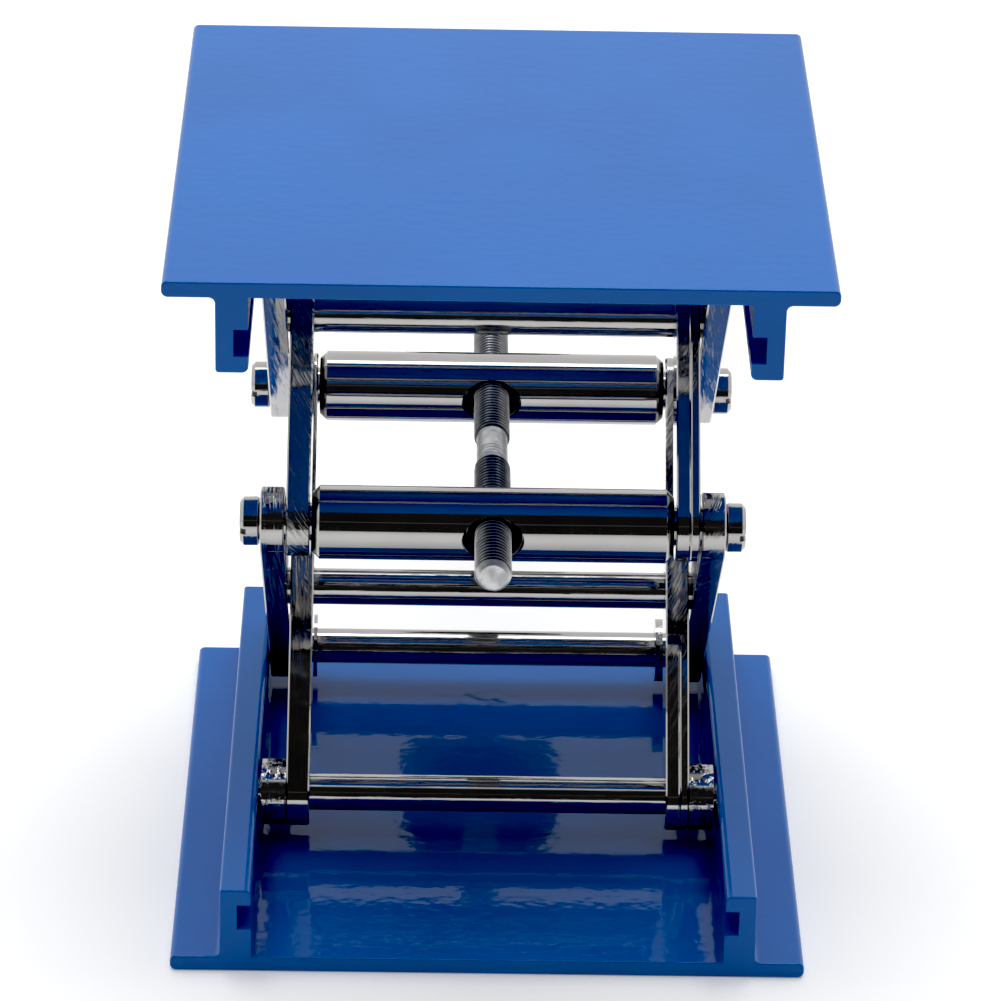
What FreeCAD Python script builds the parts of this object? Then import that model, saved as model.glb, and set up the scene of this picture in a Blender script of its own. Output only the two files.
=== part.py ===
import FreeCAD, Part
import math
import os
import Sketcher

# A laboratory scissor jack, in millimetres. +X is the jack's right, +Y its back, +Z up.
# The origin is the middle of the base plate's underside. Every size below can be set by itself.
SIZES = {
    # the platform and the base are the same extrusion, one of them turned over
    "platform_width": 100,
    "platform_depth": 100,
    "plate_thick": 2.6,
    "rest_height": 119.6,
    "rib_height": 12.2,
    "rib_thick": 4.9,
    "rib_gap": 0.3,
    "root_fillet": 1,
    "rib_outer_round": 0.5,
    "rib_inner_round": 1,
    "flange_round": 1.0,
    "edge_break": 0.3,
    # the groove that the sliding rods run in, and the rods
    "groove_rise": 7.3,
    "groove_depth": 2.2,
    "groove_play": 0.2,
    "rod_dia": 6,
    "journal_dia": 4,
    "journal_end_gap": 0.3,
    "rod_chamfer": 0.4,
    "shoulder_play": 0.2,
    "fixed_rod_inset": 12.1,
    # the arms, in two layers each side of the barrels
    "arm_pitch": 70,
    "arm_width": 11,
    "arm_thick": 3.8,
    "arm_edge": 0.25,
    "layer_gap": 0.3,
    # radial clearances: of what turns, and of what is pressed or screwed together
    "turning_fit": 0.05,
    "fixed_fit": 0.02,
    # how far a blind bore runs past the end of what is in it
    "bore_bottom": 1,
    # the spacers on the rods
    "spacer_wall": 2.4,
    "spacer_play": 0.05,
    # the barrels, which are the screw's two nuts, and their shouldered pins
    "barrel_dia": 11.8,
    "barrel_half": 28.7,
    "barrel_chamfer": 1.2,
    "sink_dia": 9.9,
    "pin_gap": 0.15,
    "pin_head_rim": 0.9,
    "pin_head_len": 3.1,
    "pin_chamfer": 0.6,
    "pin_stub_dia": 4.5,
    "pin_stub_len": 7,
    "pin_slot": 1,
    # the screw, with a right-hand and a left-hand thread either side of a plain neck
    "screw_dia": 5.9,
    "neck_dia": 5.1,
    "neck_half": 5.3,
    "tip_reach": 18,
    "tip_chamfer": 0.8,
    # the knob
    "knob_reach": 70.6,
    "collar_dia": 14,
    "collar_len": 5,
    "grip_dia": 30,
    "grip_len": 18,
    "grip_round": 2,
    "flute_dia": 5,
    "flute_depth": 1.2,
    "knob_cap": 3,
    "grub_dia": 3,
    "grub_len": 3.2,
    "collar_chamfer": 0.5,
    "grub_socket": 1.5,
    # the countersunk screws that clamp the fixed rods between the ribs
    "bolt_dia": 3,
    "bolt_len": 9,
    "bolt_hole_play": 0.1,
    "bolt_head_dia": 5.7,
    "bolt_rim": 0.2,
    "bolt_chamfer": 0.3,
    "bolt_socket": 2,
    "bolt_socket_depth": 1.1,
}
FLUTES = 16
# how far a cut is drawn beyond the faces that it opens, which changes no face
BEYOND = 1

# Places worked out from the sizes, as expressions that the document keeps up to date.
ROD_Z = "(Sizes.plate_thick + Sizes.groove_rise)"
STAGE = f"(Sizes.rest_height / 2 - {ROD_Z})"
SPREAD = f"sqrt(Sizes.arm_pitch ^ 2 - {STAGE} ^ 2)"
ARM_ANGLE = f"asin({STAGE} / Sizes.arm_pitch)"
FIXED_Y = "(Sizes.platform_depth / 2 - Sizes.fixed_rod_inset)"
SLIDE_Y = f"({FIXED_Y} - {SPREAD})"
MIDDLE_Y = f"({FIXED_Y} - {SPREAD} / 2)"
BARREL_Z = "(Sizes.rest_height / 2)"
TOP_ROD_Z = f"(Sizes.rest_height - {ROD_Z})"
LOWER_CROSS_Z = f"({ROD_Z} + {STAGE} / 2)"
UPPER_CROSS_Z = f"({TOP_ROD_Z} - {STAGE} / 2)"
# distances from the middle plane, from the barrels' ends outwards
INNER_X = "(Sizes.barrel_half + Sizes.layer_gap)"
INNER_OUT = f"({INNER_X} + Sizes.arm_thick)"
OUTER_X = f"({INNER_OUT} + Sizes.layer_gap)"
OUTER_OUT = f"({OUTER_X} + Sizes.arm_thick)"
RIB_X = f"({OUTER_OUT} + Sizes.rib_gap)"
RIB_OUT = f"({RIB_X} + Sizes.rib_thick)"
GROOVE_X = f"({RIB_X} + Sizes.groove_depth)"
PIN_SEAT = f"({OUTER_OUT} + Sizes.pin_gap)"
ROD_R = "(Sizes.rod_dia / 2)"
BOLT_HOLE = "(Sizes.bolt_dia / 2 + Sizes.bolt_hole_play)"
FIXED_HOLE = "(Sizes.rod_dia / 2 + Sizes.fixed_fit)"
TURNING_HOLE = "(Sizes.rod_dia / 2 + Sizes.turning_fit)"

doc = FreeCAD.newDocument("LabJack")


def make_sheet():
    """The spreadsheet of driving sizes, one named cell each."""
    sheet = doc.addObject("Spreadsheet::Sheet", "Sizes")
    for row, (name, value) in enumerate(SIZES.items(), start=1):
        sheet.set(f"A{row}", name)
        sheet.set(f"B{row}", str(value))
        sheet.setAlias(f"B{row}", name)
    doc.recompute()
    return sheet


sheet = make_sheet()


def number(expression):
    """The present value of an expression, as a plain number."""
    value = sheet.evalExpression(str(expression))
    return float(getattr(value, "Value", value))


def plane_or_axis(body, role):
    """An origin plane or axis of a body, by its role."""
    return next(item for item in body.Origin.OriginFeatures if item.Role == role)


def make_body(label, x="0", y="0", z="0", tilt=None, turned=False):
    """A body at (x, y, z), tilted about X, or turned half round about Z."""
    body = doc.addObject("PartDesign::Body", label)
    body.Label = label
    axis = FreeCAD.Vector(0, 0, 1) if turned else FreeCAD.Vector(1, 0, 0)
    body.Placement = FreeCAD.Placement(FreeCAD.Vector(), FreeCAD.Rotation(axis, 180 if turned else 1))
    for way, place in zip("xyz", (x, y, z)):
        body.setExpression(f"Placement.Base.{way}", place)
    if tilt:
        body.setExpression("Placement.Rotation.Angle", tilt)
    elif not turned:
        body.Placement.Rotation = FreeCAD.Rotation()
    return body


def make_sketch(body, role, name):
    """An empty sketch on one of the body's origin planes."""
    sketch = body.newObject("Sketcher::SketchObject", f"{body.Name}_{name}")
    sketch.AttachmentSupport = (plane_or_axis(body, role), [""])
    sketch.MapMode = "FlatFace"
    return sketch


def pin_point(sketch, piece, end, across, up):
    """Ties a sketch point to two expressions, its distances from the sketch's axes."""
    for kind, axis, place in (("DistanceX", -2, across), ("DistanceY", -1, up)):
        value = number(place)
        if abs(value) < 1e-9:
            sketch.addConstraint(Sketcher.Constraint("PointOnObject", piece, end, axis))
            continue
        ends = (-1, 1, piece, end) if value > 0 else (piece, end, -1, 1)
        tie = sketch.addConstraint(Sketcher.Constraint(kind, *ends, abs(value)))
        sketch.setExpression(f"Constraints[{tie}]", place if value > 0 else f"-({place})")


def draw_polygon(sketch, points):
    """A closed polygon whose corners are given as pairs of expressions."""
    corners = [FreeCAD.Vector(number(across), number(up), 0) for across, up in points]
    pieces = [
        sketch.addGeometry(Part.LineSegment(corner, corners[(n + 1) % len(corners)]))
        for n, corner in enumerate(corners)
    ]
    for n, piece in enumerate(pieces):
        following = pieces[(n + 1) % len(pieces)]
        sketch.addConstraint(Sketcher.Constraint("Coincident", piece, 2, following, 1))
    for piece, (across, up) in zip(pieces, points):
        pin_point(sketch, piece, 1, across, up)


def draw_rectangle(sketch, left, bottom, right, top):
    draw_polygon(sketch, [(left, bottom), (right, bottom), (right, top), (left, top)])


def draw_circle(sketch, across, up, radius):
    middle = FreeCAD.Vector(number(across), number(up), 0)
    piece = sketch.addGeometry(Part.Circle(middle, FreeCAD.Vector(0, 0, 1), number(radius)))
    pin_point(sketch, piece, 3, across, up)
    tie = sketch.addConstraint(Sketcher.Constraint("Radius", piece, number(radius)))
    sketch.setExpression(f"Constraints[{tie}]", radius)


def draw_bar(sketch, half_length, radius):
    """A bar along the sketch's first axis, round at both ends about (+-half_length, 0)."""
    long = number(half_length)
    wide = number(radius)
    up = FreeCAD.Vector(0, 0, 1)
    arcs = []
    for side, start in ((1, -90), (-1, 90)):
        ring = Part.Circle(FreeCAD.Vector(side * long, 0, 0), up, wide)
        arc = Part.ArcOfCircle(ring, math.radians(start), math.radians(start + 180))
        arcs.append(sketch.addGeometry(arc))
    far, near = arcs
    sides = []
    for side in (1, -1):
        start = FreeCAD.Vector(side * long, side * wide, 0)
        end = FreeCAD.Vector(-side * long, side * wide, 0)
        sides.append(sketch.addGeometry(Part.LineSegment(start, end)))
    outline = [far, sides[0], near, sides[1]]
    for first, second in zip(outline, outline[1:] + outline[:1]):
        sketch.addConstraint(Sketcher.Constraint("Tangent", first, 2, second, 1))
    pin_point(sketch, far, 3, half_length, "0")
    pin_point(sketch, near, 3, f"-({half_length})", "0")
    sketch.addConstraint(Sketcher.Constraint("Equal", far, near))
    tie = sketch.addConstraint(Sketcher.Constraint("Radius", far, wide))
    sketch.setExpression(f"Constraints[{tie}]", radius)


def volume_of(body):
    doc.recompute()
    return body.Shape.Volume if body.Tip else 0.0


def pad(body, sketch, length, middle=False):
    """Pads a sketch along its normal, or evenly both ways from its plane."""
    feature = body.newObject("PartDesign::Pad", f"{sketch.Name}_pad")
    feature.Profile = sketch
    feature.setExpression("Length", length)
    if middle:
        feature.SideType = "Symmetric"
    body.Tip = feature
    return feature


def cut(body, sketch, length=None, reverse=False, middle=False):
    """Pockets a sketch one way, or evenly both ways, or with no length right through."""
    before = volume_of(body)
    feature = body.newObject("PartDesign::Pocket", f"{sketch.Name}_pocket")
    feature.Profile = sketch
    if middle or not length:
        feature.SideType = "Symmetric"
    if length:
        feature.setExpression("Length", length)
        feature.Reversed = reverse
    else:
        feature.Type = "ThroughAll"
    body.Tip = feature
    if volume_of(body) >= before - 1e-6:
        raise RuntimeError(f"{feature.Name} removes nothing")
    return feature


def turn(body, sketch, axis, groove=False):
    """Revolves a sketch round one of the body's axes, as material or as a cut."""
    before = volume_of(body)
    kind = "PartDesign::Groove" if groove else "PartDesign::Revolution"
    feature = body.newObject(kind, f"{sketch.Name}_turned")
    feature.Profile = sketch
    feature.ReferenceAxis = (plane_or_axis(body, axis), [""])
    feature.Angle = 360
    body.Tip = feature
    if groove and volume_of(body) >= before - 1e-6:
        raise RuntimeError(f"{feature.Name} removes nothing")
    return feature


def mirror(body, features, role):
    """Mirrors features of a body in one of its origin planes."""
    feature = body.newObject("PartDesign::Mirrored", f"{body.Name}_mirrored")
    feature.Originals = features
    feature.MirrorPlane = (plane_or_axis(body, role), [""])
    body.Tip = feature
    return feature


def dress(body, kind, size, wanted):
    """Rounds or bevels the edges that wanted(edge) picks on the body's last feature."""
    doc.recompute()
    base = body.Tip
    edges = [f"Edge{n}" for n, edge in enumerate(base.Shape.Edges, start=1) if wanted(edge)]
    if not edges:
        raise RuntimeError(f"{body.Label} has no edge to dress with {size}")
    feature = body.newObject(f"PartDesign::{kind}", f"{body.Name}_{kind.lower()}{len(body.Group)}")
    feature.Base = (base, edges)
    feature.setExpression("Radius" if kind == "Fillet" else "Size", size)
    body.Tip = feature
    return feature


def near(value, expression):
    return abs(value - number(expression)) < 1e-4


def runs_along(edge, way):
    """Is this a straight edge along X, Y or Z (0, 1 or 2)?"""
    ends = [vertex.Point for vertex in edge.Vertexes]
    if len(ends) != 2 or edge.Curve.TypeId != "Part::GeomLine":
        return False
    step = ends[1] - ends[0]
    return abs(abs(step[way]) - step.Length) < 1e-6


def make_plate(label, z, flip):
    """The platform or the base: a flat plate with two grooved ribs, extruded front to back."""
    body = make_body(label, z=z)
    if flip:
        body.Placement.Rotation = FreeCAD.Rotation(FreeCAD.Vector(0, 1, 0), 180)
    web = make_sketch(body, "XZ_Plane", "web")
    draw_rectangle(web, "-Sizes.platform_width / 2", "0", "Sizes.platform_width / 2", "Sizes.plate_thick")
    pad(body, web, "Sizes.platform_depth", middle=True)
    rib = make_sketch(body, "XZ_Plane", "rib")
    draw_rectangle(rib, RIB_X, "0", RIB_OUT, "Sizes.plate_thick + Sizes.rib_height")
    rib_pad = pad(body, rib, "Sizes.platform_depth", middle=True)
    groove = make_sketch(body, "XZ_Plane", "groove")
    half_height = "(Sizes.journal_dia / 2 + Sizes.groove_play)"
    low, high = f"{ROD_Z} - {half_height}", f"{ROD_Z} + {half_height}"
    draw_rectangle(groove, f"{RIB_X} - {BEYOND}", low, GROOVE_X, high)
    groove_cut = cut(body, groove)
    mirror(body, [rib_pad, groove_cut], "YZ_Plane")
    bolt_hole = make_sketch(body, "YZ_Plane", "bolt_hole")
    draw_circle(bolt_hole, FIXED_Y, ROD_Z, BOLT_HOLE)
    cut(body, bolt_hole)

    def rib_root(edge):
        at = edge.CenterOfMass
        return runs_along(edge, 1) and near(at.z, "Sizes.plate_thick") and near(abs(at.x), RIB_OUT)

    def flange_edge(edge):
        at = edge.CenterOfMass
        return runs_along(edge, 1) and near(abs(at.x), "Sizes.platform_width / 2")

    def end_edge(edge):
        at = edge.CenterOfMass
        outer_face = near(at.z, "0") or near(at.z, "Sizes.plate_thick")
        return runs_along(edge, 0) and near(abs(at.y), "Sizes.platform_depth / 2") and outer_face

    def rib_top(edge, face):
        at = edge.CenterOfMass
        at_top = near(at.z, "Sizes.plate_thick + Sizes.rib_height")
        return runs_along(edge, 1) and at_top and near(abs(at.x), face)

    def hole_mouth(edge):
        full = edge.Curve.TypeId == "Part::GeomCircle" and near(edge.Curve.Radius, BOLT_HOLE)
        return full and near(abs(edge.CenterOfMass.x), RIB_OUT)

    dress(body, "Fillet", "Sizes.root_fillet", rib_root)
    dress(body, "Fillet", "Sizes.flange_round", flange_edge)
    dress(body, "Fillet", "Sizes.rib_outer_round", lambda edge: rib_top(edge, RIB_OUT))
    dress(body, "Fillet", "Sizes.rib_inner_round", lambda edge: rib_top(edge, RIB_X))
    dress(body, "Fillet", "Sizes.edge_break", end_edge)
    # the countersinks, as much wider than the screws' heads as the fit allows
    dress(body, "Chamfer", f"Sizes.bolt_head_dia / 2 + Sizes.fixed_fit - {BOLT_HOLE}", hole_mouth)
    return body


def make_arm(label, x, y, z, tilt, lower, middle, upper):
    """A flat bar with three holes; its upper end points along +Y before it is tilted."""
    body = make_body(label, x, y, z, tilt)
    outline = make_sketch(body, "YZ_Plane", "outline")
    draw_bar(outline, "Sizes.arm_pitch / 2", "Sizes.arm_width / 2")
    pad(body, outline, "Sizes.arm_thick")
    holes = make_sketch(body, "YZ_Plane", "holes")
    for along, radius in (("-Sizes.arm_pitch / 2", lower), ("0", middle), ("Sizes.arm_pitch / 2", upper)):
        draw_circle(holes, along, "0", radius)
    cut(body, holes)

    def outline_edge(edge):
        return near(edge.CenterOfMass.x, "0") or near(edge.CenterOfMass.x, "Sizes.arm_thick")

    dress(body, "Chamfer", "Sizes.arm_edge", outline_edge)
    return body


def make_turned(label, points, axis="X_Axis", x="0", y="0", z="0", turned=False):
    """A piece turned about X or Y, from (along, radius) pairs of expressions."""
    body = make_body(label, x, y, z, turned=turned)
    profile = make_sketch(body, "XY_Plane", "profile")
    if axis == "Y_Axis":
        points = [(radius, along) for along, radius in points]
    draw_polygon(profile, points)
    turn(body, profile, axis)
    return body


def make_cross_rod(label, z):
    """A plain rod through both layers of arms, flush with their outer faces."""
    tip = f"({ROD_R} - Sizes.rod_chamfer)"
    inside = f"({OUTER_OUT} - Sizes.rod_chamfer)"
    points = [
        (f"-{OUTER_OUT}", "0"), (f"-{OUTER_OUT}", tip), (f"-{inside}", ROD_R),
        (inside, ROD_R), (OUTER_OUT, tip), (OUTER_OUT, "0"),
    ]
    return make_turned(label, points, y=MIDDLE_Y, z=z)


def make_fixed_rod(label, z):
    """A rod clamped between the ribs, with a tapped bore in each end."""
    tip = f"({ROD_R} - Sizes.rod_chamfer)"
    inside = f"({RIB_X} - Sizes.rod_chamfer)"
    bore = "(Sizes.bolt_dia / 2 + Sizes.fixed_fit)"
    blind = f"({RIB_OUT} - Sizes.bolt_len - Sizes.bore_bottom)"
    points = [
        (f"-{blind}", "0"), (f"-{blind}", bore), (f"-{RIB_X}", bore), (f"-{RIB_X}", tip),
        (f"-{inside}", ROD_R), (inside, ROD_R),
        (RIB_X, tip), (RIB_X, bore), (blind, bore), (blind, "0"),
    ]
    return make_turned(label, points, y=FIXED_Y, z=z)


def make_sliding_rod(label, z):
    """A rod whose thinner journals run in the ribs' grooves."""
    shoulder = f"({RIB_X} - Sizes.shoulder_play)"
    end = f"({GROOVE_X} - Sizes.journal_end_gap)"
    journal = "(Sizes.journal_dia / 2)"
    tip = f"({journal} - Sizes.rod_chamfer)"
    inside = f"({end} - Sizes.rod_chamfer)"
    half = [(shoulder, ROD_R), (shoulder, journal), (inside, journal), (end, tip), (end, "0")]
    points = [(f"-{along}", radius) for along, radius in reversed(half)] + half
    return make_turned(label, points, y=SLIDE_Y, z=z)


def make_spacer(label, side, start, y, z):
    """A collar round a rod, from the distance start to the far side of its layer of arms."""
    end = f"({start} + Sizes.arm_thick + Sizes.layer_gap / 2)"
    outside = f"({ROD_R} + Sizes.spacer_wall)"
    low, high = (start, end) if side > 0 else (f"-{end}", f"-{start}")
    points = [(low, FIXED_HOLE), (low, outside), (high, outside), (high, FIXED_HOLE)]
    return make_turned(label, points, y=y, z=z)


def make_barrel(label, y):
    """A cross barrel: the screw's nut, sunk where the screw goes through, bored at both ends."""
    body = make_body(label, y=y, z=BARREL_Z)
    section = make_sketch(body, "YZ_Plane", "section")
    draw_circle(section, "0", "0", "Sizes.barrel_dia / 2")
    pad(body, section, "2 * Sizes.barrel_half", middle=True)

    def end_edge(edge):
        return near(abs(edge.CenterOfMass.x), "Sizes.barrel_half")

    dress(body, "Chamfer", "Sizes.barrel_chamfer", end_edge)
    bore = "(Sizes.screw_dia / 2 + Sizes.turning_fit)"
    sink = "(Sizes.sink_dia / 2)"
    face = "(Sizes.barrel_dia / 2)"
    outside = f"({face} + {BEYOND})"
    depth = f"({face} + {bore} - {sink})"
    screw_way = make_sketch(body, "XY_Plane", "screw_way")
    draw_polygon(screw_way, [
        ("0", f"-{outside}"), (f"{sink} + {BEYOND}", f"-{outside}"), (bore, f"-{depth}"),
        (bore, depth), (f"{sink} + {BEYOND}", outside), ("0", outside),
    ])
    turn(body, screw_way, "Y_Axis", groove=True)
    stub = "(Sizes.pin_stub_dia / 2 + Sizes.fixed_fit)"
    floor = "(Sizes.barrel_half - Sizes.pin_stub_len - Sizes.bore_bottom)"
    end_bore = make_sketch(body, "XY_Plane", "end_bore")
    draw_rectangle(end_bore, floor, "0", f"Sizes.barrel_half + {BEYOND}", stub)
    end_groove = turn(body, end_bore, "X_Axis", groove=True)
    mirror(body, [end_groove], "YZ_Plane")
    return body


def make_pin(label, side, y):
    """A shouldered pin that both arms turn on, screwed into the barrel's end."""
    seat = f"({PIN_SEAT} - Sizes.barrel_half)"
    head = f"({ROD_R} + Sizes.pin_head_rim)"
    stub = "(Sizes.pin_stub_dia / 2)"
    points = [
        (f"-({seat} + Sizes.pin_stub_len)", "0"), (f"-({seat} + Sizes.pin_stub_len)", stub),
        (f"-{seat}", stub), (f"-{seat}", ROD_R), ("0", ROD_R), ("0", f"{head} - Sizes.pin_chamfer / 2"),
        ("Sizes.pin_chamfer / 2", head), ("Sizes.pin_head_len - Sizes.pin_chamfer", head),
        ("Sizes.pin_head_len", f"{head} - Sizes.pin_chamfer"), ("Sizes.pin_head_len", "0"),
    ]
    x = PIN_SEAT if side > 0 else f"-{PIN_SEAT}"
    body = make_turned(label, points, x=x, y=y, z=BARREL_Z, turned=side < 0)
    slot = make_sketch(body, "XY_Plane", "slot")
    floor = "Sizes.pin_head_len - Sizes.pin_slot"
    outside = f"{head} + {BEYOND}"
    draw_rectangle(slot, floor, f"-({outside})", f"Sizes.pin_head_len + {BEYOND}", outside)
    cut(body, slot, "Sizes.pin_slot", middle=True)
    return body


def draw_hexagon(sketch, flats):
    """A hexagon round the sketch's origin, with two corners on its first axis."""
    corner = f"({flats} / sqrt(3))"
    half = f"({flats} / 2)"
    draw_polygon(sketch, [
        (corner, "0"), (f"{corner} / 2", half), (f"-{corner} / 2", half),
        (f"-{corner}", "0"), (f"-{corner} / 2", f"-{half}"), (f"{corner} / 2", f"-{half}"),
    ])


def make_bolt(label, side, z):
    """A countersunk screw, flush with a rib's outer face, into the end of a fixed rod."""
    radius = "(Sizes.bolt_dia / 2)"
    head = "(Sizes.bolt_head_dia / 2)"
    neck = f"({head} - {radius})"
    points = [
        ("-Sizes.bolt_len", "0"), ("-Sizes.bolt_len", f"{radius} - Sizes.bolt_chamfer"),
        ("-Sizes.bolt_len + Sizes.bolt_chamfer", radius), (f"-{neck}", radius),
        ("-Sizes.bolt_rim", f"{head} - Sizes.bolt_rim"), ("0", f"{head} - Sizes.bolt_rim"), ("0", "0"),
    ]
    x = RIB_OUT if side > 0 else f"-{RIB_OUT}"
    body = make_turned(label, points, x=x, y=FIXED_Y, z=z, turned=side < 0)
    # the socket is drawn on its floor and cut from there out through the head's face
    socket = make_sketch(body, "YZ_Plane", "socket")
    socket.setExpression("AttachmentOffset.Base.z", "-Sizes.bolt_socket_depth")
    draw_hexagon(socket, "Sizes.bolt_socket")
    cut(body, socket, f"Sizes.bolt_socket_depth + {BEYOND}", reverse=True)
    return body


def make_screw(label):
    """The lifting screw, along Y, with its origin midway between the barrels."""
    radius = "(Sizes.screw_dia / 2)"
    neck = "(Sizes.neck_dia / 2)"
    step = f"({radius} - {neck})"
    tip = f"({SPREAD} / 2 + Sizes.tip_reach)"
    end = "(Sizes.knob_reach + Sizes.collar_len + Sizes.grip_len - Sizes.knob_cap)"
    points = [
        (f"-{tip}", "0"), (f"-{tip}", f"{radius} - Sizes.tip_chamfer"),
        (f"-{tip} + Sizes.tip_chamfer", radius),
        ("-Sizes.neck_half", radius), (f"-Sizes.neck_half + {step}", neck),
        (f"Sizes.neck_half - {step}", neck), ("Sizes.neck_half", radius),
        (f"{end} - Sizes.rod_chamfer", radius), (end, f"{radius} - Sizes.rod_chamfer"), (end, "0"),
    ]
    return make_turned(label, points, "Y_Axis", y=MIDDLE_Y, z=BARREL_Z)


def make_knob(label):
    """A fluted round knob with a collar that holds its grub screw."""
    bore = "(Sizes.screw_dia / 2 + Sizes.fixed_fit)"
    collar = "(Sizes.collar_dia / 2)"
    grip = "(Sizes.grip_dia / 2)"
    long = "(Sizes.collar_len + Sizes.grip_len)"
    floor = f"({long} - Sizes.knob_cap)"
    points = [
        ("0", bore), ("0", f"{collar} - Sizes.collar_chamfer"), ("Sizes.collar_chamfer", collar),
        ("Sizes.collar_len", collar),
        ("Sizes.collar_len", grip), (long, grip), (long, "0"), (floor, "0"), (floor, bore),
    ]
    body = make_turned(label, points, "Y_Axis", y=f"{MIDDLE_Y} + Sizes.knob_reach", z=BARREL_Z)

    def grip_edge(edge):
        at = edge.CenterOfMass
        full = edge.Curve.TypeId == "Part::GeomCircle" and near(edge.Curve.Radius, grip)
        return full and (near(at.y, "Sizes.collar_len") or near(at.y, long))

    dress(body, "Fillet", "Sizes.grip_round", grip_edge)
    flute = make_sketch(body, "XZ_Plane", "flute")
    draw_circle(flute, "0", f"{grip} + Sizes.flute_dia / 2 - Sizes.flute_depth", "Sizes.flute_dia / 2")
    # the flutes start behind the collar, whose face they would otherwise reach
    flute.setExpression("AttachmentOffset.Base.z", "-Sizes.collar_len")
    flute_cut = cut(body, flute, f"Sizes.grip_len + {BEYOND}")
    flutes = body.newObject("PartDesign::PolarPattern", f"{body.Name}_flutes")
    flutes.Originals = [flute_cut]
    flutes.Axis = (plane_or_axis(body, "Y_Axis"), [""])
    flutes.Angle = 360
    flutes.Occurrences = FLUTES
    body.Tip = flutes
    grub_hole = make_sketch(body, "XY_Plane", "grub_hole")
    draw_circle(grub_hole, "0", "Sizes.collar_len / 2", "Sizes.grub_dia / 2 + Sizes.fixed_fit")
    cut(body, grub_hole, f"Sizes.collar_dia / 2 + {BEYOND}", reverse=True)
    return body


def make_grub(label):
    """The knob's grub screw, pointing down at the lifting screw through the collar."""
    over_collar = f"{MIDDLE_Y} + Sizes.knob_reach + Sizes.collar_len / 2"
    body = make_body(label, y=over_collar, z=f"{BARREL_Z} + Sizes.screw_dia / 2")
    outline = make_sketch(body, "XY_Plane", "outline")
    draw_circle(outline, "0", "0", "Sizes.grub_dia / 2")
    pad(body, outline, "Sizes.grub_len")
    socket = make_sketch(body, "XY_Plane", "socket")
    socket.setExpression("AttachmentOffset.Base.z", "Sizes.grub_len / 2")
    draw_hexagon(socket, "Sizes.grub_socket")
    cut(body, socket, "Sizes.grub_len", reverse=True)
    return body


SIDES = (("left", -1), ("right", 1))


def layer_start(side, start):
    """Where an arm's low face lies, for a layer that starts this far from the middle plane."""
    return start if side > 0 else f"-({start} + Sizes.arm_thick)"


BASE_SPACER_X = f"({INNER_OUT} + Sizes.spacer_play)"
TOP_SPACER_X = f"({INNER_OUT} + Sizes.layer_gap / 2)"
RISING_BACK = ARM_ANGLE
RISING_FRONT = f"180 deg - {ARM_ANGLE}"

nodes = [
    make_plate("base_plate", "0", flip=False),
    make_plate("top_plate", "Sizes.rest_height", flip=True),
    make_fixed_rod("base_fixed_rod", ROD_Z),
    make_fixed_rod("top_fixed_rod", TOP_ROD_Z),
    make_sliding_rod("base_sliding_rod", ROD_Z),
    make_sliding_rod("top_sliding_rod", TOP_ROD_Z),
    make_cross_rod("lower_cross_rod", LOWER_CROSS_Z),
    make_cross_rod("upper_cross_rod", UPPER_CROSS_Z),
    make_barrel("front_barrel", SLIDE_Y),
    make_barrel("rear_barrel", FIXED_Y),
    make_screw("lift_screw"),
    make_knob("knob"),
    make_grub("knob_grub_screw"),
]
for hand, side in SIDES:
    inner = layer_start(side, INNER_X)
    outer = layer_start(side, OUTER_X)
    nodes += [
        make_arm(
            f"lower_outer_arm_{hand}", outer, MIDDLE_Y, LOWER_CROSS_Z, RISING_FRONT,
            TURNING_HOLE, FIXED_HOLE, TURNING_HOLE,
        ),
        make_arm(
            f"lower_inner_arm_{hand}", inner, MIDDLE_Y, LOWER_CROSS_Z, RISING_BACK,
            FIXED_HOLE, TURNING_HOLE, TURNING_HOLE,
        ),
        make_arm(
            f"upper_inner_arm_{hand}", inner, MIDDLE_Y, UPPER_CROSS_Z, RISING_BACK,
            TURNING_HOLE, TURNING_HOLE, TURNING_HOLE,
        ),
        make_arm(
            f"upper_outer_arm_{hand}", outer, MIDDLE_Y, UPPER_CROSS_Z, RISING_FRONT,
            TURNING_HOLE, FIXED_HOLE, FIXED_HOLE,
        ),
        make_pin(f"front_barrel_pin_{hand}", side, SLIDE_Y),
        make_pin(f"rear_barrel_pin_{hand}", side, FIXED_Y),
        make_bolt(f"base_rod_screw_{hand}", side, ROD_Z),
        make_bolt(f"top_rod_screw_{hand}", side, TOP_ROD_Z),
        # where a rod carries the outer arms its collars fill the inner layer, and the reverse
        make_spacer(f"base_fixed_spacer_{hand}", side, INNER_X, FIXED_Y, ROD_Z),
        make_spacer(f"top_sliding_spacer_{hand}", side, INNER_X, SLIDE_Y, TOP_ROD_Z),
        make_spacer(f"base_sliding_spacer_{hand}", side, BASE_SPACER_X, SLIDE_Y, ROD_Z),
        make_spacer(f"top_fixed_spacer_{hand}", side, TOP_SPACER_X, FIXED_Y, TOP_ROD_Z),
    ]

doc.recompute()
for item in doc.Objects:
    if "Invalid" in item.State or "Error" in item.State:
        raise RuntimeError(f"{item.Name} did not build: {item.State}")
for node in nodes:
    if node.Shape.isNull() or not node.Shape.isValid() or len(node.Shape.Solids) != 1:
        raise RuntimeError(f"{node.Label} is not one sound solid")

os.makedirs("parts", exist_ok=True)
for node in nodes:
    node.Shape.exportStep(f"parts/{node.Label}.step")
print(f"{len(nodes)} sub-parts written")
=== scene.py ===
import math

import bmesh
import bpy
from mathutils import Matrix, Vector


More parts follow.
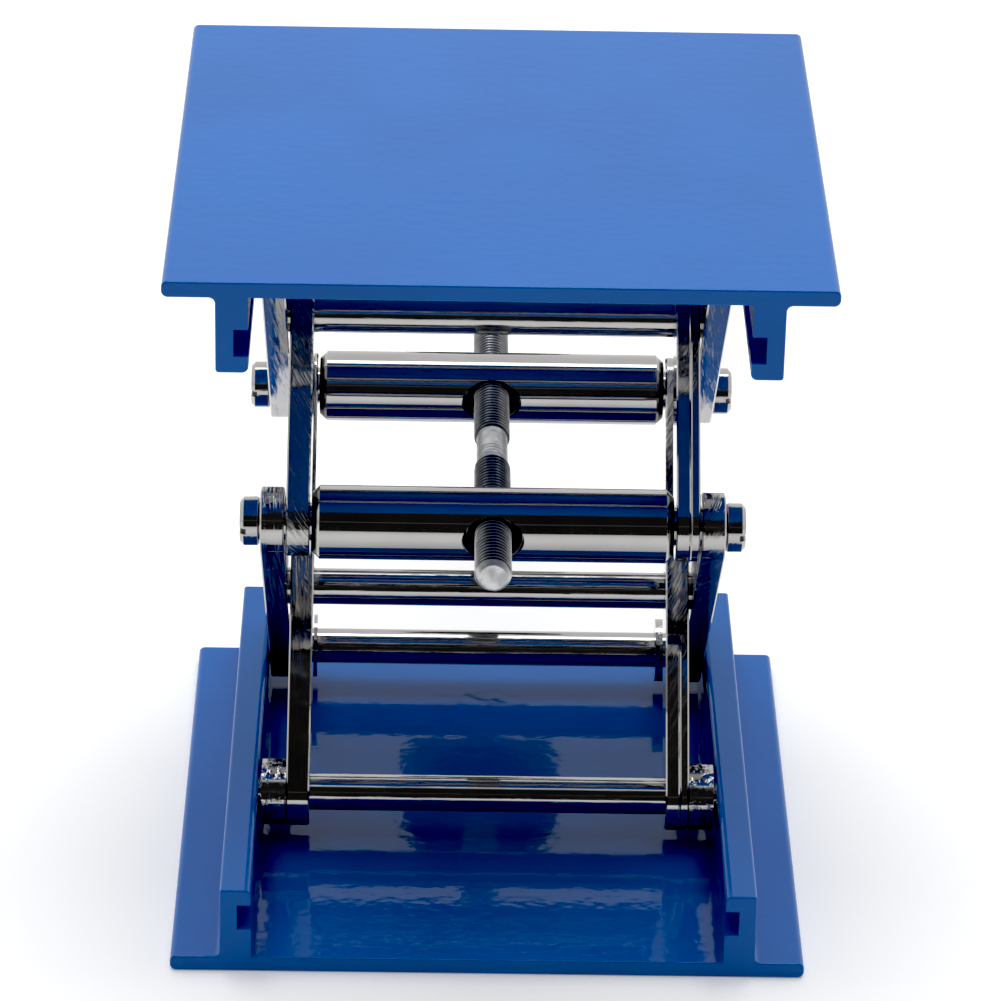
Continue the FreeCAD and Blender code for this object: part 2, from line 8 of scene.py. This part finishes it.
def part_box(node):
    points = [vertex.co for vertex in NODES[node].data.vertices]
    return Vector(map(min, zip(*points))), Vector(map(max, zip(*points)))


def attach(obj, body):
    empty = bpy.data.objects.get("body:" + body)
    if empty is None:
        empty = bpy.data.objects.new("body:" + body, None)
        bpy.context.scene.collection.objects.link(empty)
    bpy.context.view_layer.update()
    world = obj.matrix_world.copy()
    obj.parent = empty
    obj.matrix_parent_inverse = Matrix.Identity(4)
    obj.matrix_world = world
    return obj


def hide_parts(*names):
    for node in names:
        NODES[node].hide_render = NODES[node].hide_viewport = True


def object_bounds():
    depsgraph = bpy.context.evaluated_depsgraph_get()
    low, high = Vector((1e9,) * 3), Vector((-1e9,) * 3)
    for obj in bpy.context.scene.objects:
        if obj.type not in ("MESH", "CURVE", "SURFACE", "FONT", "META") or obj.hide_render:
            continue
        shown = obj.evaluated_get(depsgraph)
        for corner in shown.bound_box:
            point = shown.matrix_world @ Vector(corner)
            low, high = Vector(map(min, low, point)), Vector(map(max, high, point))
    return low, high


# A laboratory scissor jack: two blue extruded plates, chromed arms, rods and barrels, and the
# zinc-plated lifting screw between them. Everything is in metres.
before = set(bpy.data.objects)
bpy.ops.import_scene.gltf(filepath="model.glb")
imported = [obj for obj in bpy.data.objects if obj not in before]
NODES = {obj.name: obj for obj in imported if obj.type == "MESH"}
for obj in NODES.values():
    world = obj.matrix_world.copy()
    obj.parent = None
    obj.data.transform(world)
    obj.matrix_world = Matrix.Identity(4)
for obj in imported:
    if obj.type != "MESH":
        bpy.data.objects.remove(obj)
cad_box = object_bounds()
MM = 0.001


# ---------------------------------------------------------------- helpers for trees and colours

def linear(code):
    """An sRGB hex colour as the linear colour that shaders take."""
    parts = [int(code[n:n + 2], 16) / 255 for n in (1, 3, 5)]
    return tuple(c / 12.92 if c <= 0.04045 else ((c + 0.055) / 1.055) ** 2.4 for c in parts) + (1,)


def cells(*widths):
    """How many cells of these widths, in millimetres, go into a metre."""
    return tuple(1 / (w * MM) for w in widths)


def add(tree, kind, inputs=None, **settings):
    """Adds a node. An input given a socket, or a node for its first output, is linked to it,
    and any other value is set."""
    node = tree.nodes.new(kind)
    for name, value in settings.items():
        setattr(node, name, value)
    for name, value in (inputs or {}).items():
        if isinstance(value, bpy.types.Node):
            value = value.outputs[0]
        if isinstance(value, bpy.types.NodeSocket):
            tree.links.new(value, node.inputs[name])
        else:
            node.inputs[name].default_value = value
    return node


def new_material(name):
    """A material with a Principled shader, its tree and the shader."""
    material = bpy.data.materials.new(name)
    material.use_nodes = True
    tree = material.node_tree
    tree.nodes.clear()
    shader = add(tree, "ShaderNodeBsdfPrincipled")
    add(tree, "ShaderNodeOutputMaterial", {"Surface": shader})
    return material, tree, shader


def pattern(tree, widths, turn=(0, 0, 0), detail=2.0, roughness=0.5):
    """Noise on the piece's own coordinates, turned by degrees, with cells of these widths in
    millimetres along each axis."""
    place = add(tree, "ShaderNodeTexCoord").outputs["Object"]
    turned = add(tree, "ShaderNodeMapping", {
        "Vector": place, "Rotation": tuple(math.radians(angle) for angle in turn),
    })
    sized = add(tree, "ShaderNodeMapping", {"Vector": turned, "Scale": cells(*widths)})
    return add(tree, "ShaderNodeTexNoise", {
        "Vector": sized, "Scale": 1.0, "Detail": detail, "Roughness": roughness,
    })


# ---------------------------------------------------------------- materials

def blue_powder_coat():
    """Gloss polyester powder coat on extruded aluminium: a deep even blue under a clear wet
    gloss. Orange peel ripples whatever it mirrors, and the die's faint lines show through."""
    material, tree, shader = new_material("blue_powder_coat")
    patches = add(tree, "ShaderNodeMapRange", {
        "Value": pattern(tree, (28, 28, 28)), "From Min": 0.35, "From Max": 0.65,
    })
    colour = add(tree, "ShaderNodeMix", {
        "Factor": patches, 6: linear("#045DAD"), 7: linear("#0561B3"),
    }, data_type="RGBA")
    peel = add(tree, "ShaderNodeBump", {
        "Height": pattern(tree, (2.6, 2.0, 2.6), detail=1.5), "Distance": 0.03 * MM,
    })
    die_lines = add(tree, "ShaderNodeBump", {
        "Height": pattern(tree, (0.9, 40, 0.9)), "Distance": 0.002 * MM, "Normal": peel,
    })
    gloss = add(tree, "ShaderNodeMapRange", {
        "Value": patches, "To Min": 0.05, "To Max": 0.08,
    })
    tree.links.new(colour.outputs[2], shader.inputs["Base Color"])
    tree.links.new(die_lines.outputs[0], shader.inputs["Normal"])
    tree.links.new(gloss.outputs[0], shader.inputs["Roughness"])
    shader.inputs["IOR"].default_value = 1.38
    return material


def chrome(name, marks, turn, depth, dulled, swell, worn_above=None, rough_past=None, bore=None):
    """Bright chrome plate on steel. The plate follows what was ground, turned or drawn under
    it, so the mirror keeps those marks and is duller in them. Sizes are in millimetres, but for
    bore, which is in metres. marks is the size of one mark and turn its angles in degrees, depth
    and swell are the heights of the marks and of the soft waviness between them, and dulled is
    the roughness in a mark. Below worn_above, a height, the marks stay faint. rough_past is how
    far from the middle plane a bar's parted-off ends begin, whose torn grain shows through the
    plate. bore is a round bar's axis, as Y and Z, and a radius in its cross hole: below it the
    colour is painted shade, a dark grey standing in for the shade down the hole."""
    material, tree, shader = new_material(name)
    lines = pattern(tree, marks, turn, detail=3.0, roughness=0.6)
    waves = add(tree, "ShaderNodeBump", {
        "Height": pattern(tree, (3.2, 3.2, 3.2), detail=1.0), "Distance": swell * MM,
    })
    scores = add(tree, "ShaderNodeMapRange", {"Value": lines, "From Min": 0.52, "From Max": 0.72})
    place = add(tree, "ShaderNodeTexCoord").outputs["Object"]
    parts = add(tree, "ShaderNodeSeparateXYZ", {0: place}).outputs
    if worn_above:
        fade = 9
        worn = add(tree, "ShaderNodeMapRange", {
            "Value": parts["Z"], "From Min": worn_above * MM,
            "From Max": (worn_above + fade) * MM, "To Min": 0.15,
        })
        scores = add(tree, "ShaderNodeMath", {0: scores, 1: worn}, operation="MULTIPLY")
    cut = add(tree, "ShaderNodeBump", {
        "Height": scores, "Distance": depth * MM, "Normal": waves,
    })
    if rough_past:
        aside = add(tree, "ShaderNodeMath", {0: parts["X"]}, operation="ABSOLUTE")
        end = add(tree, "ShaderNodeMath", {0: aside, 1: rough_past * MM},
                  operation="GREATER_THAN")
        cut = add(tree, "ShaderNodeBump", {
            "Height": pattern(tree, (0.4, 0.5, 0.5), detail=3.0, roughness=0.7),
            "Distance": 0.06 * MM, "Strength": end, "Normal": cut,
        })
    dull = add(tree, "ShaderNodeMapRange", {"Value": scores, "To Min": 0.045, "To Max": dulled})
    haze = add(tree, "ShaderNodeMapRange", {
        "Value": pattern(tree, (7, 7, 7), detail=3.0), "From Min": 0.35, "From Max": 0.7,
    })
    tint = add(tree, "ShaderNodeMix", {
        "Factor": haze, 6: linear("#B1B0AE"), 7: linear("#AAA9A9"),
    }, data_type="RGBA").outputs[2]
    # Painted shade: down the cross hole, past the given radius, the chrome's colour is blended to
    # dark grey.
    if bore:
        axis_y, axis_z, shade_below_radius = bore
        centred = add(tree, "ShaderNodeVectorMath", {0: place, 1: (0, axis_y, axis_z)},
                      operation="SUBTRACT")
        flat = add(tree, "ShaderNodeVectorMath", {0: centred, 1: (0, 1, 1)}, operation="MULTIPLY")
        radius = add(tree, "ShaderNodeVectorMath", {0: flat}, operation="LENGTH").outputs["Value"]
        painted_hole_shade = add(tree, "ShaderNodeMapRange", {
            "Value": radius, "From Min": shade_below_radius, "From Max": shade_below_radius - 0.25 * MM,
        })
        tint = add(tree, "ShaderNodeMix", {
            "Factor": painted_hole_shade, 6: tint, 7: linear("#4E4F50"),
        }, data_type="RGBA").outputs[2]
    tree.links.new(tint, shader.inputs["Base Color"])
    tree.links.new(cut.outputs[0], shader.inputs["Normal"])
    tree.links.new(dull.outputs[0], shader.inputs["Roughness"])
    shader.inputs["Metallic"].default_value = 1.0
    return material


def clear_zinc_plate(name, thread=None):
    """Clear zinc on rolled steel: a pale grey frosted sheen, cooler and darker in patches, with
    a fine grain drawn at 0.3 mm so that it shows. A thread's grooves are coloured dark grey as
    painted shade. thread is its axis height, its crests' radius, where along Y its full turns
    begin, and its plain neck's middle and half length."""
    material, tree, shader = new_material(name)
    patches = add(tree, "ShaderNodeMapRange", {
        "Value": pattern(tree, (1.6, 1.6, 1.6), detail=4.0), "From Min": 0.35, "From Max": 0.65,
    })
    shade = add(tree, "ShaderNodeMix", {
        "Factor": patches, 6: linear("#BBBCBC"), 7: linear("#DFDFDD"),
    }, data_type="RGBA").outputs[2]
    if thread:
        axis_height, crest, begin, neck, half_neck = thread
        place = add(tree, "ShaderNodeTexCoord").outputs["Object"]
        centred = add(tree, "ShaderNodeVectorMath", {0: place, 1: (0, neck, axis_height)},
                      operation="SUBTRACT")
        flat = add(tree, "ShaderNodeVectorMath", {0: centred, 1: (1, 0, 1)}, operation="MULTIPLY")
        radius = add(tree, "ShaderNodeVectorMath", {0: flat}, operation="LENGTH").outputs["Value"]
        # Painted shade: below the crests the colour darkens to dark grey, along the thread but not
        # over the plain neck or the tip's chamfer.
        groove = add(tree, "ShaderNodeMapRange", {
            "Value": radius, "From Min": crest - 0.05 * MM, "From Max": crest - 0.2 * MM,
            "To Max": 0.9,
        })
        along = add(tree, "ShaderNodeSeparateXYZ", {0: centred}).outputs["Y"]
        apart = add(tree, "ShaderNodeMath", {0: along}, operation="ABSOLUTE")
        off_neck = add(tree, "ShaderNodeMath", {0: apart, 1: half_neck}, operation="GREATER_THAN")
        off_tip = add(tree, "ShaderNodeMath", {0: along, 1: begin - neck}, operation="GREATER_THAN")
        cut = add(tree, "ShaderNodeMath", {0: off_neck, 1: off_tip}, operation="MULTIPLY")
        painted_groove_shade = add(tree, "ShaderNodeMath", {0: groove, 1: cut}, operation="MULTIPLY")
        shade = add(tree, "ShaderNodeMix", {
            "Factor": painted_groove_shade, 6: shade, 7: linear("#4A4B4C"),
        }, data_type="RGBA").outputs[2]
    grain = add(tree, "ShaderNodeBump", {
        "Height": pattern(tree, (0.3, 0.3, 0.3), detail=3.0), "Distance": 0.014 * MM,
    })
    sheen = add(tree, "ShaderNodeMapRange", {
        "Value": patches, "To Min": 0.5, "To Max": 0.36,
    })
    tree.links.new(shade, shader.inputs["Base Color"])
    tree.links.new(grain.outputs[0], shader.inputs["Normal"])
    tree.links.new(sheen.outputs[0], shader.inputs["Roughness"])
    shader.inputs["Metallic"].default_value = 0.6
    return material


def moulded_phenolic():
    """Compression-moulded phenolic: near black, with the press tool's satin skin and a faint
    pebble of filler under it."""
    material, tree, shader = new_material("black_moulded_phenolic")
    wear = pattern(tree, (5, 5, 5), detail=3.0)
    colour = add(tree, "ShaderNodeMix", {
        "Factor": wear, 6: linear("#0C0D0F"), 7: linear("#1B1C1F"),
    }, data_type="RGBA")
    pebble = add(tree, "ShaderNodeBump", {
        "Height": pattern(tree, (0.7, 0.7, 0.7)), "Distance": 0.02 * MM,
    })
    satin = add(tree, "ShaderNodeMapRange", {
        "Value": wear, "From Min": 0.3, "From Max": 0.7, "To Min": 0.26, "To Max": 0.42,
    })
    tree.links.new(colour.outputs[2], shader.inputs["Base Color"])
    tree.links.new(pebble.outputs[0], shader.inputs["Normal"])
    tree.links.new(satin.outputs[0], shader.inputs["Roughness"])
    shader.inputs["IOR"].default_value = 1.6
    return material


PAINT = blue_powder_coat()
FALLING_CHROME = chrome(
    "chrome_on_cross_ground_steel", marks=(0.25, 8, 8), turn=(0, 38, 0),
    depth=0.042, dulled=0.34, swell=0.02,
)
RISING_CHROME = chrome(
    "chrome_on_back_ground_steel", marks=(0.26, 5, 5), turn=(0, -36, 0),
    depth=0.016, dulled=0.28, swell=0.02, worn_above=79,
)
LOW_CHROME = chrome(
    "chrome_on_back_ground_low_steel", marks=(0.26, 5, 5), turn=(0, -36, 0),
    depth=0.016, dulled=0.28, swell=0.02, worn_above=30,
)
LENGTH_CHROME = chrome(
    "chrome_on_long_ground_steel", marks=(0.3, 9, 9), turn=(0, 3, 0),
    depth=0.026, dulled=0.28, swell=0.02, worn_above=30,
)
TUMBLED_CHROME = chrome(
    "chrome_on_tumbled_steel", marks=(0.4, 6, 6), turn=(0, 8, 0),
    depth=0.004, dulled=0.34, swell=0.003,
)
ROD_CHROME = chrome(
    "chrome_on_drawn_steel", marks=(12, 0.5, 0.5), turn=(0, 0, 0),
    depth=0.005, dulled=0.16, swell=0.005,
)
PIN_CHROME = chrome(
    "chrome_on_turned_pins", marks=(0.5, 6, 6), turn=(0, 0, 0),
    depth=0.006, dulled=0.14, swell=0.012,
)
COLLAR_CHROME = chrome(
    "chrome_on_rough_turned_steel", marks=(0.8, 1.1, 1.1), turn=(0, 0, 20),
    depth=0.03, dulled=0.22, swell=0.02,
)


def barrel_chrome(node):
    """The chrome of one barrel. Its ends are sawn, and its cross hole is coloured dark grey as
    painted shade from 0.3 mm below the bar's surface.
    """
    low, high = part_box(node)
    middle, radius = (low + high) / 2, (high.z - low.z) / 2
    return chrome(
        node + "_chrome_on_turned_bar", marks=(0.45, 12, 12), turn=(0, 0, 0),
        depth=0.003, dulled=0.12, swell=0.003,
        rough_past=27.9, bore=(middle.y, middle.z, radius - 0.3 * MM),
    )


FASTENER_ZINC = clear_zinc_plate("clear_zinc_plate")
KNOB_BLACK = moulded_phenolic()

FINISHES = {
    "blue_paint": PAINT,
    "ground_chrome_arm": RISING_CHROME,
    "chrome_rod": ROD_CHROME,
    "chrome_pin": PIN_CHROME,
    "chrome_spacer": COLLAR_CHROME,
    "zinc_screw": FASTENER_ZINC,
    "zinc_fastener": FASTENER_ZINC,
    "black_knob": KNOB_BLACK,
}
OWN_FINISHES = {
    "front_barrel": barrel_chrome("front_barrel"),
    "rear_barrel": barrel_chrome("rear_barrel"),
    "upper_inner_arm_left": FALLING_CHROME,
    "upper_outer_arm_left": TUMBLED_CHROME,
    "upper_outer_arm_right": TUMBLED_CHROME,
    "lower_inner_arm_left": LENGTH_CHROME,
    "lower_outer_arm_left": LENGTH_CHROME,
    "lower_inner_arm_right": LOW_CHROME,
    "lower_outer_arm_right": LOW_CHROME,
}
for name, node in NODES.items():
    for slot in node.material_slots:
        slot.material = OWN_FINISHES.get(name) or FINISHES[slot.material.name.split(".")[0]]


# ---------------------------------------------------------------- lifting screw

def build_thread_tree():
    """The tree that makes the lifting screw: a sheet of rows along the screw and columns round
    it is rolled up, and each point's radius is the least of the bar, the tip's chamfer, the
    plain neck and the thread, whose helix turns the other way past the neck."""
    tree = bpy.data.node_groups.new("rolled_lifting_screw", "GeometryNodeTree")
    tree.interface.new_socket("Screw", in_out="OUTPUT", socket_type="NodeSocketGeometry")
    for name in (
        "Front End", "Axis Height", "Length", "Crest Radius", "Pitch", "Thread Depth",
        "Tip Chamfer", "Neck Middle", "Neck Half Length", "Neck Radius", "Row Step",
    ):
        tree.interface.new_socket(name, in_out="INPUT", socket_type="NodeSocketFloat")
    for name in ("Rows", "Sides"):
        tree.interface.new_socket(name, in_out="INPUT", socket_type="NodeSocketInt")
    tree.interface.new_socket("Finish", in_out="INPUT", socket_type="NodeSocketMaterial")
    size = add(tree, "NodeGroupInput").outputs
    maths = "ShaderNodeMath"

    # One row more at each end, drawn in to the axis, closes the ends.
    ends = add(tree, maths, {0: size["Row Step"], 1: 2.0, 2: size["Length"]},
               operation="MULTIPLY_ADD")
    sheet = add(tree, "GeometryNodeMeshGrid", {
        "Size X": ends, "Size Y": 2 * math.pi,
        "Vertices X": size["Rows"], "Vertices Y": size["Sides"],
    })
    point = add(tree, "ShaderNodeSeparateXYZ", {0: add(tree, "GeometryNodeInputPosition")}).outputs
    angle = point["Y"]
    raw = add(tree, maths, {0: size["Length"], 1: 0.5, 2: point["X"]}, operation="MULTIPLY_ADD")
    along = add(tree, "ShaderNodeClamp", {"Value": raw, "Min": 0.0, "Max": size["Length"]})
    past = add(tree, maths, {0: raw, 1: along, 2: 1e-7}, operation="COMPARE")

    from_neck = add(tree, maths, {0: along, 1: size["Neck Middle"]}, operation="SUBTRACT")
    hand = add(tree, maths, {0: from_neck}, operation="SIGN")
    turn = add(tree, maths, {0: angle, 1: 2 * math.pi}, operation="DIVIDE")
    turns = add(tree, maths, {0: along, 1: size["Pitch"]}, operation="DIVIDE")
    helix = add(tree, maths, {0: turn, 1: hand, 2: turns}, operation="MULTIPLY_ADD")
    phase = add(tree, maths, {0: helix}, operation="FRACT")
    centred = add(tree, maths, {0: phase, 1: 2.0, 2: -1.0}, operation="MULTIPLY_ADD")
    flank = add(tree, maths, {0: centred}, operation="ABSOLUTE")
    # A metric thread: the crest's flat is an eighth of the pitch, and the root's a quarter.
    groove = add(tree, "ShaderNodeMapRange", {"Value": flank, "From Min": 0.125, "From Max": 0.75})
    # The thread runs out over the neck's front half, and stops at the neck on the other side.
    fading = add(tree, maths, {0: size["Neck Half Length"], 1: -0.2}, operation="MULTIPLY")
    run_out = add(tree, "ShaderNodeMapRange", {
        "Value": from_neck, "From Min": fading, "From Max": 0.0, "To Min": 0.82, "To Max": 0.0,
    })
    apart = add(tree, maths, {0: from_neck}, operation="ABSOLUTE")
    in_neck = add(tree, maths, {0: apart, 1: size["Neck Half Length"]}, operation="SUBTRACT")
    on_thread = add(tree, maths, {0: in_neck, 1: 0.0}, operation="GREATER_THAN")
    share = add(tree, maths, {0: on_thread, 1: run_out}, operation="MAXIMUM")
    deep = add(tree, maths, {0: groove, 1: share}, operation="MULTIPLY")
    cut = add(tree, maths, {0: deep, 1: size["Thread Depth"]}, operation="MULTIPLY")
    threaded = add(tree, maths, {0: size["Crest Radius"], 1: cut}, operation="SUBTRACT")

    cone = add(tree, maths, {0: in_neck, 1: 0.0}, operation="MAXIMUM")
    neck = add(tree, maths, {0: cone, 1: size["Neck Radius"]}, operation="ADD")
    tip_face = add(tree, maths, {0: size["Crest Radius"], 1: size["Tip Chamfer"]},
                   operation="SUBTRACT")
    tip = add(tree, maths, {0: tip_face, 1: along}, operation="ADD")
    plain = add(tree, maths, {0: neck, 1: tip}, operation="MINIMUM")
    least = add(tree, maths, {0: plain, 1: threaded}, operation="MINIMUM")
    radius = add(tree, maths, {0: least, 1: past}, operation="MULTIPLY")

    cosine = add(tree, maths, {0: angle}, operation="COSINE")
    sine = add(tree, maths, {0: angle}, operation="SINE")
    place = add(tree, "ShaderNodeCombineXYZ", {
        "X": add(tree, maths, {0: radius, 1: cosine}, operation="MULTIPLY"),
        "Y": add(tree, maths, {0: along, 1: size["Front End"]}, operation="ADD"),
        "Z": add(tree, maths, {0: radius, 1: sine, 2: size["Axis Height"]}, operation="MULTIPLY_ADD"),
    })
    rolled = add(tree, "GeometryNodeSetPosition", {"Geometry": sheet, "Position": place})
    closed = add(tree, "GeometryNodeMergeByDistance", {"Geometry": rolled, "Distance": 0.001 * MM})
    bend = add(tree, "GeometryNodeInputMeshEdgeAngle")
    crease = add(tree, "FunctionNodeCompare", {0: bend, 1: math.radians(40)},
                 operation="GREATER_THAN")
    creased = add(tree, "GeometryNodeStoreNamedAttribute", {
        "Geometry": closed, "Name": "sharp_edge", "Value": crease,
    }, data_type="BOOLEAN", domain="EDGE")
    whole = add(tree, "GeometryNodeRealizeInstances", {"Geometry": creased})
    finished = add(tree, "GeometryNodeSetMaterial", {"Geometry": whole, "Material": size["Finish"]})
    add(tree, "NodeGroupOutput", {0: finished})
    return tree


def make_lifting_screw():
    """The screw in the place and size of its plain stand-in, as one mesh."""
    low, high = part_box("lift_screw")
    crest = (high.x - low.x) / 2
    front_barrel, rear_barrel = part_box("front_barrel"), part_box("rear_barrel")
    middle = (front_barrel[0].y + front_barrel[1].y + rear_barrel[0].y + rear_barrel[1].y) / 4
    step = 0.125 * MM
    axis_height, depth = (low.z + high.z) / 2, 0.56 * MM
    chamfer, half_neck = 0.8 * MM, 5.3 * MM
    zinc = clear_zinc_plate("clear_zinc_on_rolled_thread",
                            (axis_height, crest, low.y + chamfer, middle, half_neck))
    sizes = {
        "Front End": low.y, "Axis Height": axis_height, "Length": high.y - low.y,
        "Crest Radius": crest, "Pitch": 1.0 * MM, "Thread Depth": depth,
        "Tip Chamfer": chamfer, "Neck Middle": middle - low.y, "Neck Half Length": half_neck,
        "Neck Radius": 2.55 * MM, "Row Step": step,
        "Rows": round((high.y - low.y) / step) + 3, "Sides": 41, "Finish": zinc,
    }
    blank = bpy.data.objects.new("lifting_screw_blank", bpy.data.meshes.new("lifting_screw_blank"))
    bpy.context.scene.collection.objects.link(blank)
    modifier = blank.modifiers.new("thread", "NODES")
    modifier.node_group = build_thread_tree()
    for socket in modifier.node_group.interface.items_tree:
        if socket.in_out == "INPUT":
            modifier[socket.identifier] = sizes[socket.name]
    made = blank.evaluated_get(bpy.context.evaluated_depsgraph_get())
    mesh = bpy.data.meshes.new_from_object(made)
    mesh.name = "threaded_lifting_screw"
    screw = bpy.data.objects.new("threaded_lifting_screw", mesh)
    bpy.context.scene.collection.objects.link(screw)
    bpy.data.objects.remove(blank)
    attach(screw, "screw")
    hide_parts("lift_screw")


def make_sheared_ridge(name, low_rod, high_rod, round_eye, end, body):
    """The raised line that blanking left along a right arm's upper edge, as one sharp bead. It
    runs from end, in millimetres from the lower pivot, down to that pivot's eye and round it by
    round_eye degrees."""
    low, high = (sum(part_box(rod), Vector()) / 2 for rod in (low_rod, high_rod))
    along = (high - low).normalized()
    out = Vector((1, 0, 0)).cross(along)
    if out.z < 0:
        out = -out
    line, edge = 31.3 * MM, 5.5 * MM
    stretches, degrees_apart = 8, 5
    stations = [
        (low + along * end * MM * part / stretches, out) for part in range(stretches, 0, -1)
    ]
    for turn in range(0, round_eye + 1, degrees_apart):
        angle = math.radians(turn)
        stations.append((low, out * math.cos(angle) - along * math.sin(angle)))
    half, proud, top, sunk = 0.24 * MM, 0.22 * MM, 0.03 * MM, 0.15 * MM
    section = ((-half, -sunk), (-half, 0), (-top, proud), (top, proud), (half, 0), (half, -sunk))
    count = len(section)
    build = bmesh.new()
    rings = []
    for centre, away in stations:
        foot = centre + away * edge
        rings.append([
            build.verts.new(Vector((line + aside, foot.y, foot.z)) + away * rise)
            for aside, rise in section
        ])
    for first, second in zip(rings, rings[1:]):
        for n in range(count):
            following = (n + 1) % count
            build.faces.new((first[n], first[following], second[following], second[n]))
    build.faces.new(rings[0])
    build.faces.new(rings[-1])
    bmesh.ops.recalc_face_normals(build, faces=build.faces)
    mesh = bpy.data.meshes.new(name)
    build.to_mesh(mesh)
    build.free()
    mesh.materials.append(PIN_CHROME)
    ridge = bpy.data.objects.new(name, mesh)
    bpy.context.scene.collection.objects.link(ridge)
    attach(ridge, body)


make_lifting_screw()
make_sheared_ridge(
    "upper_arm_sheared_ridge", low_rod="front_barrel", high_rod="top_fixed_rod",
    round_eye=110, end=66, body="upper_inner",
)
make_sheared_ridge(
    "lower_arm_sheared_ridge", low_rod="base_sliding_rod", high_rod="rear_barrel",
    round_eye=50, end=23, body="lower_inner",
)


# ---------------------------------------------------------------- stage, light and camera

def make_floor():
    """A matt white paper floor just under the base, lit a little from below as a sweep is."""
    bpy.ops.mesh.primitive_circle_add(vertices=96, radius=3.0, fill_type="NGON")
    floor = bpy.context.object
    floor.name = "pale_floor"
    floor.location.z = cad_box[0].z - 0.02 * MM
    material, tree, shader = new_material("pale_paper_sweep")
    shader.inputs["Base Color"].default_value = linear("#F7F7F7")
    shader.inputs["Roughness"].default_value = 0.9
    shader.inputs["Specular IOR Level"].default_value = 0.0
    shader.inputs["Emission Color"].default_value = (1, 1, 1, 1)
    shader.inputs["Emission Strength"].default_value = 0.17
    floor.data.materials.append(material)


def make_world():
    """A white sweep behind and overhead, and a dark room in front above the floor, with one
    pale strip across it."""
    world = bpy.data.worlds.new("studio")
    bpy.context.scene.world = world
    world.use_nodes = True
    tree = world.node_tree
    tree.nodes.clear()
    way = add(tree, "ShaderNodeTexCoord").outputs["Generated"]
    parts = add(tree, "ShaderNodeSeparateXYZ", {0: way}).outputs
    behind = add(tree, "ShaderNodeMapRange", {
        "Value": parts["Y"], "From Min": -0.25, "From Max": 0.05,
    })
    overhead = add(tree, "ShaderNodeMapRange", {
        "Value": parts["Z"], "From Min": 0.86, "From Max": 0.93,
    })
    white = add(tree, "ShaderNodeMath", {0: behind, 1: overhead}, operation="MAXIMUM")
    strip_height, strip_half_width = math.sin(math.radians(27.5)), 0.012
    from_strip = add(tree, "ShaderNodeMath", {
        0: parts["Z"], 1: strip_height, 2: strip_half_width,
    }, operation="COMPARE")
    room = add(tree, "ShaderNodeMapRange", {"Value": from_strip, "To Min": 0.055, "To Max": 0.16})
    level = add(tree, "ShaderNodeMath", {0: white, 1: room}, operation="MAXIMUM")
    back = add(tree, "ShaderNodeBackground", {"Color": (1, 1, 1, 1), "Strength": level})
    add(tree, "ShaderNodeOutputWorld", {"Surface": back})


def make_softbox(name, place, aim, size, power):
    """A square soft light of this size and power in watts at place, turned to aim."""
    data = bpy.data.lights.new(name, "AREA")
    data.shape = "SQUARE"
    data.size = size
    data.energy = power
    lamp = bpy.data.objects.new(name, data)
    lamp.location = place
    lamp.rotation_euler = (Vector(aim) - Vector(place)).to_track_quat("-Z", "Y").to_euler()
    bpy.context.scene.collection.objects.link(lamp)


def make_camera():
    """A long lens a little above the jack, nearly square on to its front."""
    azimuth, elevation, roll = math.radians(0.921), math.radians(27.469), math.radians(1.241)
    distance, aim = 0.8097, Vector((0.00132, 0, 0.05822))
    data = bpy.data.cameras.new("camera")
    data.lens = 180.64
    data.sensor_width = 36
    data.clip_start = 0.01
    data.clip_end = 20
    camera = bpy.data.objects.new("camera", data)
    forward = Vector((
        math.sin(azimuth) * math.cos(elevation),
        math.cos(azimuth) * math.cos(elevation),
        -math.sin(elevation),
    ))
    turn = forward.to_track_quat("-Z", "Y").to_matrix() @ Matrix.Rotation(roll, 3, "Z")
    camera.matrix_world = Matrix.Translation(aim - forward * distance) @ turn.to_4x4()
    bpy.context.scene.collection.objects.link(camera)
    bpy.context.scene.camera = camera


def set_exposure():
    """Plain display colours, with the black point of a contrasty studio print."""
    view = bpy.context.scene.view_settings
    view.view_transform = "Standard"
    view.use_curve_mapping = True
    view.curve_mapping.black_level = (0.02, 0.02, 0.02)
    view.curve_mapping.update()


make_floor()
make_world()
make_softbox("overhead_softbox", place=(0, 0.1, 0.9), aim=(0, 0, 0.06), size=0.7, power=5)
make_camera()
set_exposure()
